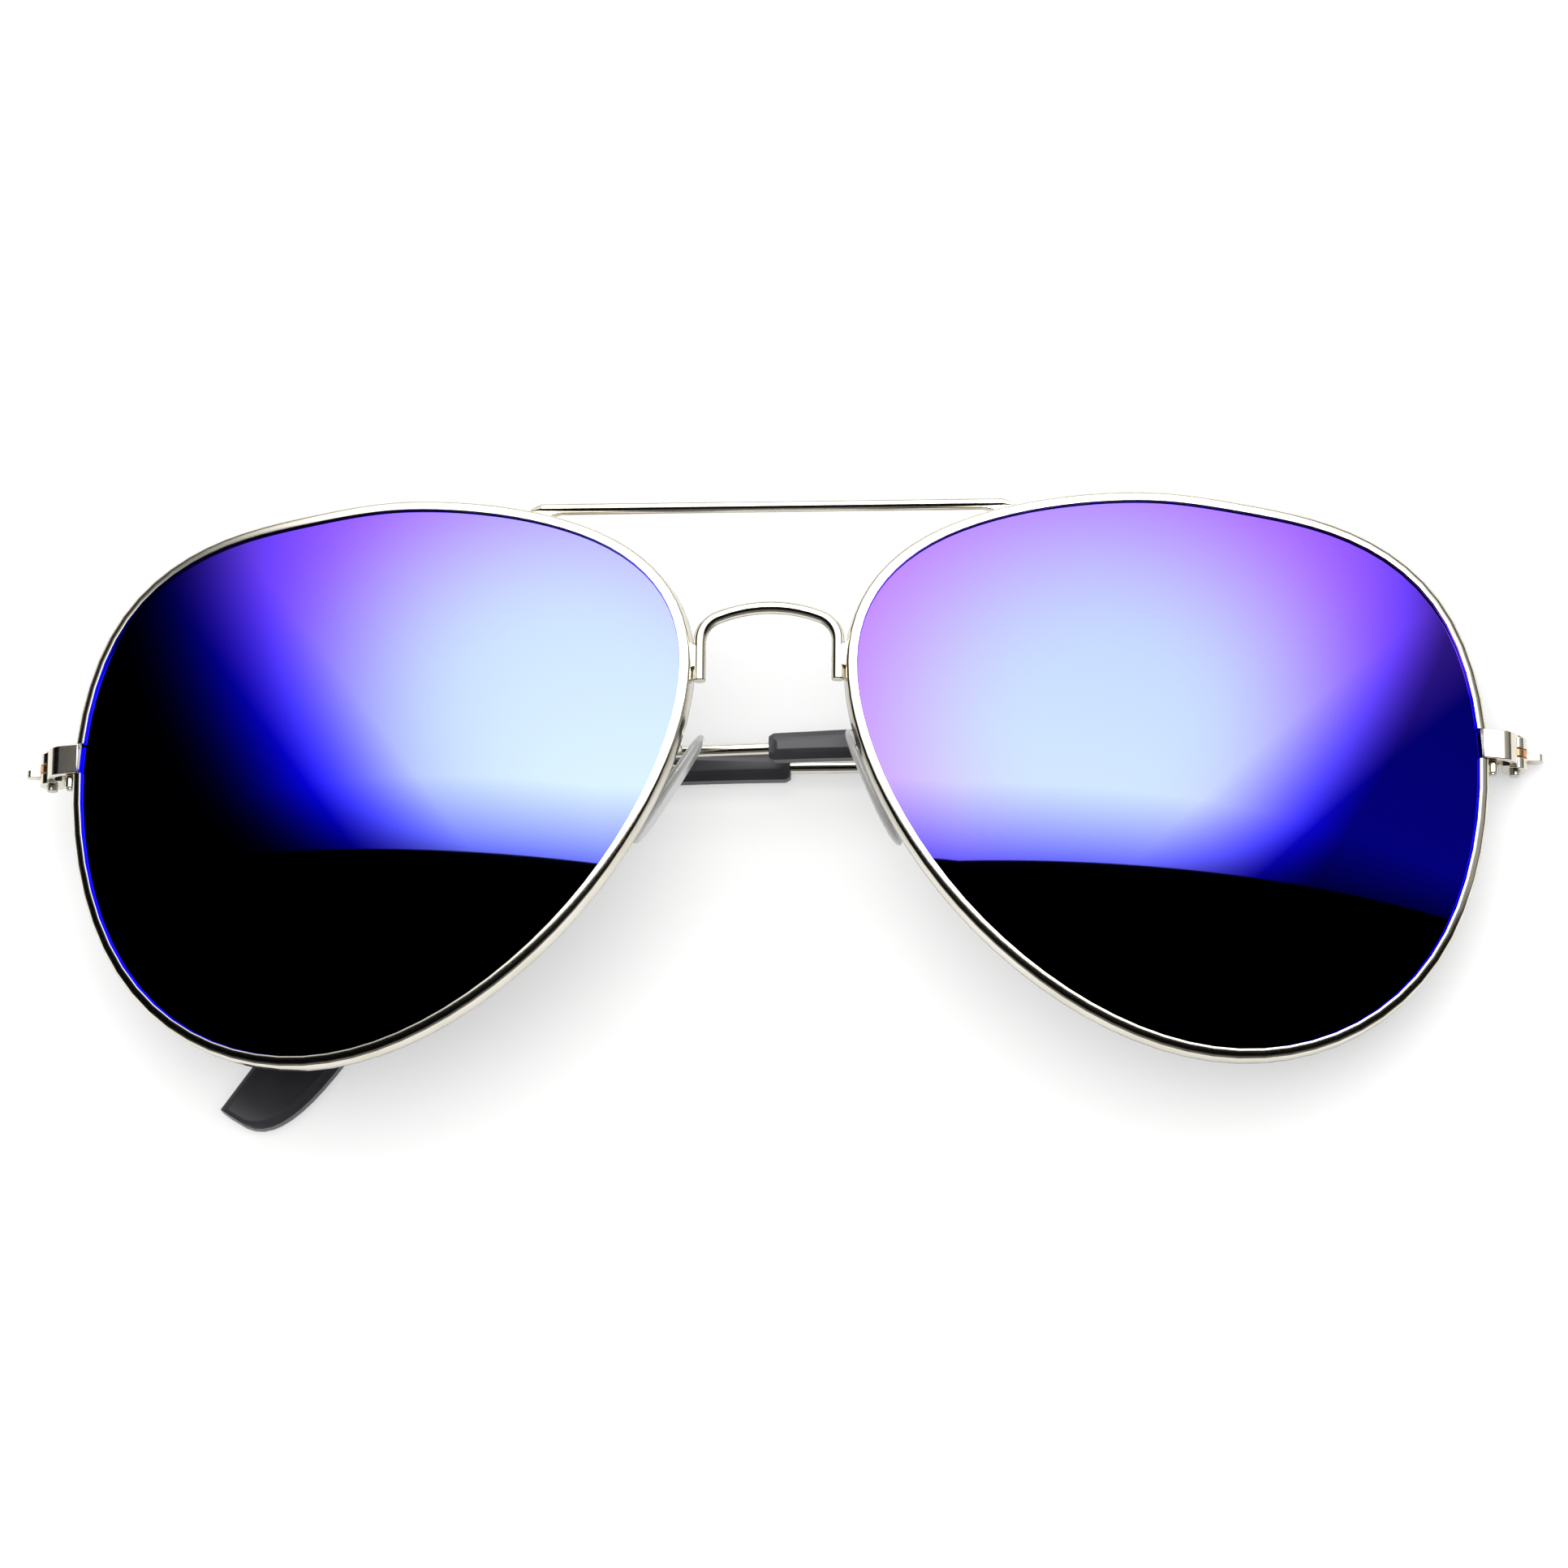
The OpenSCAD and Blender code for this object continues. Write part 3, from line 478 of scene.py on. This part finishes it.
# Temple tips: dark moulded plastic over the end of the wire, bent behind the ear. The sleeve is a
# little fuller at its mouth, and the broad faces are raised to a long leaf inside a sloping border.
tip_crease = 30
tip_ease = 0.00006
tip_ease_past = 15
mouth_reach = 0.0004
mouth_fuller = 1.25
mouth_swell = 0.022
leaf_border = 0.00036
leaf_rise = 0.00014
leaf_corner = 0.00025
same_spot = 1e-6
skin_mm = 10 / 3
skin_dark = "#333237"
skin_light = "#424146"
skin_rough = (0.28, 0.4)
grit_mm = 2 / 7
grit_bump = 0.15
grit_depth = 0.00002
# The plastic gives a charcoal black with a half-dull moulded skin. The mould's real grit is finer
# than a tenth of a millimetre, and is drawn coarser so that it shows.
plastic, tree, shader = material("black_moulded_plastic")
place = add(tree, "ShaderNodeTexCoord").outputs["Object"]
skin = add(tree, "ShaderNodeTexNoise",
           [("Vector", place), ("Scale", mm_in_metre / skin_mm), ("Detail", 3.0)])
grit = add(tree, "ShaderNodeTexNoise",
           [("Vector", place), ("Scale", mm_in_metre / grit_mm), ("Detail", 2.0)])
haze = add(tree, "ShaderNodeMapRange",
           [("Value", skin), ("To Min", skin_rough[0]), ("To Max", skin_rough[1])])
tint = add(tree, "ShaderNodeMix",
           [(0, skin), (colour_a, linear(skin_dark)), (colour_b, linear(skin_light))],
           data_type="RGBA").outputs[colour_mix]
bump = add(tree, "ShaderNodeBump",
           [("Height", grit), ("Strength", grit_bump), ("Distance", grit_depth)])
join(tree, shader, [("Base Color", tint), ("Roughness", haze), ("Normal", bump)])


def broad_face(piece, up):
    """The largest face of a piece on its upper or its lower side."""
    return max(piece.data.polygons, key=lambda face: up * face.normal.z * face.area)


for side, turn in (("left", -1), ("right", 1)):
    tip = copy_of(side + "_temple_tip", side + "_temple_sleeve", tip_crease)
    join_flats(tip)
    mouth = max(turn * v.co.x for v in tip.data.vertices) - mouth_reach
    lip = [v.co.copy() for v in tip.data.vertices if turn * v.co.x > mouth]
    pick(tip, "VERT", lambda v: turn * v.co.x > mouth)
    bpy.ops.transform.resize(
        value=(1, mouth_fuller, 1), center_override=sum(lip, Vector()) / len(lip),
        use_proportional_edit=True, proportional_edit_falloff="SMOOTH", proportional_size=mouth_swell)
    bpy.ops.object.mode_set(mode="OBJECT")
    for up in (-1, 1):
        # Corners that are too close for the border are merged, and the face is inset to the leaf
        ring = set(broad_face(tip, up).vertices)
        pick(tip, "VERT", lambda v: v.index in ring)
        bpy.ops.mesh.remove_doubles(threshold=leaf_corner)
        bpy.ops.object.mode_set(mode="OBJECT")
        leaf = broad_face(tip, up).index
        border = [tip.data.vertices[i].co.copy() for i in tip.data.polygons[leaf].vertices]
        pick(tip, "FACE", lambda face: face.index == leaf)
        bpy.ops.mesh.inset(thickness=leaf_border, depth=0)
        bpy.ops.object.mode_set(mode="OBJECT")
        # The outer edge of the border goes down, and the leaf is left standing
        pick(tip, "VERT", lambda v: min((v.co - spot).length for spot in border) < same_spot)
        bpy.ops.transform.translate(value=(0, 0, -up * leaf_rise))
        bpy.ops.object.mode_set(mode="OBJECT")
    ease_edges(tip, tip_ease, tip_ease_past)
    dress(tip, side + "_temple", "black_tip", plastic, side + "_temple_tip")

# Floor: a pale sheet under the object. Its shade is taken off whatever lies behind it, so that the
# temples still show when they open downwards through it. It fades out round the object, and is
# clear from below.
floor_half = 0.28
floor_colour = "#e4e4e3"
floor_lift = 0.4
floor_shade = -0.52
fade_from = 0.14
fade_to = 0.26
bpy.ops.object.select_all(action="DESELECT")
bpy.ops.mesh.primitive_plane_add(size=2 * floor_half, location=(0, 0, 0))
floor = bpy.context.active_object
floor.name = "floor"
floor.visible_shadow = False
floor_paint, tree, shader = material("pale_floor")
floor_paint.cycles.emission_sampling = "NONE"
path = add(tree, "ShaderNodeLightPath").outputs
seen = add(tree, "ShaderNodeMath",
           [(0, path["Is Glossy Ray"]), (1, path["Is Transmission Ray"])], operation="MAXIMUM")
lift = add(tree, "ShaderNodeMath", [(0, seen), (1, floor_lift)], operation="MULTIPLY")
join(tree, shader, [
    ("Base Color", linear(floor_colour)), ("Roughness", 0.9), ("Specular IOR Level", 0.1),
    ("Emission Color", linear("#ffffff")), ("Emission Strength", lift)])
clear = add(tree, "ShaderNodeBsdfTransparent")
shade = add(tree, "ShaderNodeEmission", [("Strength", floor_shade)])
shade = add(tree, "ShaderNodeAddShader", [(0, shader), (1, shade)])
shade = add(tree, "ShaderNodeAddShader", [(0, clear), (1, shade)])
place = add(tree, "ShaderNodeTexCoord").outputs["Object"]
away = add(tree, "ShaderNodeVectorMath", [(0, place)], operation="LENGTH").outputs["Value"]
fade = add(tree, "ShaderNodeMapRange",
           [("Value", away), ("From Min", fade_from), ("From Max", fade_to)],
           interpolation_type="SMOOTHSTEP")
shade = add(tree, "ShaderNodeMixShader", [(0, fade), (1, shade), (2, clear)])
sheet = add(tree, "ShaderNodeMixShader", [(0, path["Is Camera Ray"]), (1, shader), (2, shade)])
below = add(tree, "ShaderNodeNewGeometry").outputs["Backfacing"]
sheet = add(tree, "ShaderNodeMixShader", [(0, below), (1, sheet), (2, clear)])
join(tree, tree.nodes["Material Output"], [("Surface", sheet)])
floor.data.materials.append(floor_paint)

# Light cloth: a broad lit cloth over the object, which shows only in what mirrors it. It fans out
# away from the camera and ends at a sharp edge, so that the lower half of each lens mirrors the
# dark; far behind the camera it glows a little, so that the lenses show from the back.
cloth_half = 3.2
cloth_height = 0.6
light_strength = 4.6
light_middle = 0.1
light_drift = 0.075
light_half = 0.385
light_fan = 0.72
light_top = 0.2
light_fall = -0.5
side_power = 4.0
side_fall = -1.29
side_fill = 0.092
light_edge = 0.030
edge_climb = -0.13
edge_glow = 0.2
edge_reach = 0.11
behind_from = -0.45
behind_to = -1.2
behind_glow = 0.22
bpy.ops.object.select_all(action="DESELECT")
bpy.ops.mesh.primitive_plane_add(size=2 * cloth_half, location=(0, 0, 0))
cloth = bpy.context.active_object
cloth.name = "soft_light"
cloth.data.transform(Matrix.Translation((0, 0, cloth_height)))
cloth.visible_camera = False
cloth.visible_diffuse = False
cloth.visible_shadow = False
lit_cloth, tree, shader = material("soft_light_cloth")
tree.nodes.remove(shader)
place = add(tree, "ShaderNodeTexCoord").outputs["Object"]
place = add(tree, "ShaderNodeSeparateXYZ", [("Vector", place)]).outputs
across, along = place["X"], place["Y"]
# Across the cloth the light falls off from its middle to its sides, and on the right a little stays
half = add(tree, "ShaderNodeMath", [(0, along), (1, light_fan), (2, light_half)],
           operation="MULTIPLY_ADD")
middle = add(tree, "ShaderNodeMath", [(0, along), (1, light_drift), (2, light_middle)],
             operation="MULTIPLY_ADD")
off = add(tree, "ShaderNodeMath", [(0, across), (1, middle)], operation="SUBTRACT")
off = add(tree, "ShaderNodeMath", [(0, off)], operation="ABSOLUTE")
off = add(tree, "ShaderNodeMath", [(0, off), (1, half)], operation="DIVIDE")
sides = add(tree, "ShaderNodeMath", [(0, off), (1, side_power)], operation="POWER")
sides = add(tree, "ShaderNodeMath", [(0, sides), (1, side_fall)], operation="MULTIPLY")
sides = add(tree, "ShaderNodeMath", [(0, sides)], operation="EXPONENT")
fill = add(tree, "ShaderNodeMath", [(0, across), (1, light_half)], operation="GREATER_THAN")
fill = add(tree, "ShaderNodeMath", [(0, fill), (1, side_fill)], operation="MULTIPLY")
sides = add(tree, "ShaderNodeMath", [(0, sides), (1, fill)], operation="MAXIMUM")
# Along the cloth it rises from its edge, and falls off slowly further away
far = add(tree, "ShaderNodeMath", [(0, along), (1, light_top)], operation="SUBTRACT")
far = add(tree, "ShaderNodeMath", [(0, far), (1, light_fall)], operation="MULTIPLY")
far = add(tree, "ShaderNodeMath", [(0, far)], operation="EXPONENT")
edge = add(tree, "ShaderNodeMath", [(0, across), (1, edge_climb), (2, light_edge)],
           operation="MULTIPLY_ADD")
edge = add(tree, "ShaderNodeMath", [(0, edge), (1, light_edge)], operation="MAXIMUM")
past = add(tree, "ShaderNodeMath", [(0, along), (1, edge)], operation="SUBTRACT")
glow = add(tree, "ShaderNodeMapRange",
           [("Value", past), ("From Max", edge_reach), ("To Min", edge_glow)])
past = add(tree, "ShaderNodeMath", [(0, past), (1, 0.0)], operation="GREATER_THAN")
glow = add(tree, "ShaderNodeMath", [(0, glow), (1, past)], operation="MULTIPLY")
glow = add(tree, "ShaderNodeMath", [(0, glow), (1, light_strength)], operation="MULTIPLY")
level = add(tree, "ShaderNodeMath", [(0, sides), (1, far)], operation="MULTIPLY")
level = add(tree, "ShaderNodeMath", [(0, level), (1, glow)], operation="MULTIPLY")
behind = add(tree, "ShaderNodeMapRange",
             [("Value", along), ("From Min", behind_from), ("From Max", behind_to),
              ("To Max", behind_glow)])
level = add(tree, "ShaderNodeMath", [(0, level), (1, behind)], operation="MAXIMUM")
light = add(tree, "ShaderNodeEmission", [("Strength", level)])
join(tree, tree.nodes["Material Output"], [("Surface", light)])
cloth.data.materials.append(lit_cloth)

# Lamp: one large soft lamp overhead, which lights the object and the floor at a plain level. No
# mirror shows it, because the cloth takes its place there.
lamp_place = (0, 0.2, 0.55)
lamp_size = 1.0
lamp_watts = 5.7
bpy.ops.object.select_all(action="DESELECT")
bpy.ops.object.light_add(type="AREA", location=lamp_place)
soft_lamp = bpy.context.active_object
soft_lamp.name = "soft_lamp"
soft_lamp.data.size = lamp_size
soft_lamp.data.energy = lamp_watts
soft_lamp.visible_camera = False
soft_lamp.visible_glossy = False
soft_lamp.visible_transmission = False

# Dark board: a low ring of matt board that stands round the object. It shows only in what mirrors
# it, and draws the edges of the metal and the plastic.
board_sides = 64
board_radius = 0.6
board_height = 0.12
board_colour = "#4a483d"
bpy.ops.object.select_all(action="DESELECT")
bpy.ops.mesh.primitive_cylinder_add(
    vertices=board_sides, radius=board_radius, depth=board_height, end_fill_type="NOTHING")
board = bpy.context.active_object
board.name = "dark_board"
board.data.transform(Matrix.Translation((0, 0, board_height / 2)))
board.visible_camera = False
board.visible_diffuse = False
board.visible_shadow = False
board_paint, tree, shader = material("dark_board_paint")
join(tree, shader, [("Base Color", linear(board_colour)), ("Roughness", 0.9)])
board.data.materials.append(board_paint)

# Surround: a plain white studio, which the camera, the mirrors and clear plastic see as white. On
# the object it is only a faint fill beside the lamp.
room_fill = 0.15
room_white = 1.0
world = bpy.data.worlds.new("studio")
bpy.context.scene.world = world
world.use_nodes = True
tree = world.node_tree
path = add(tree, "ShaderNodeLightPath").outputs
seen = add(tree, "ShaderNodeMath",
           [(0, path["Is Camera Ray"]), (1, path["Is Glossy Ray"])], operation="MAXIMUM")
seen = add(tree, "ShaderNodeMath",
           [(0, seen), (1, path["Is Transmission Ray"])], operation="MAXIMUM")
level = add(tree, "ShaderNodeMapRange",
            [("Value", seen), ("To Min", room_fill), ("To Max", room_white)])
join(tree, tree.nodes["Background"], [("Color", linear("#ffffff")), ("Strength", level)])
bpy.context.scene.cycles.caustics_reflective = False
bpy.context.scene.cycles.caustics_refractive = False

# Camera: it stands where the photo was taken from, about 0.6 m from the front and a little below
# its middle, with a long lens. Its place is told in the frame of the front, which leans on the table.
camera_turn = -3.75
camera_pitch = 17.0
camera_roll = -0.5
camera_place = (0.00146, -0.0019, 0.6)
camera_focal = 151.379
camera_sensor = 36.0
camera_near = 0.01
data = bpy.data.cameras.new("photo_camera")
data.sensor_width = camera_sensor
data.lens = camera_focal
data.clip_start = camera_near
camera = bpy.data.objects.new("photo_camera", data)
bpy.context.scene.collection.objects.link(camera)
camera.matrix_world = (
    to_table @ Matrix.Translation((0, 0, lens_top["left"][2]))
    @ Matrix.Rotation(math.radians(-camera_turn), 4, "Y")
    @ Matrix.Rotation(math.radians(camera_pitch), 4, "X")
    @ Matrix.Rotation(math.radians(-camera_roll), 4, "Z") @ Matrix.Translation(camera_place))
bpy.context.scene.camera = camera
bpy.context.scene.view_settings.view_transform = "Standard"
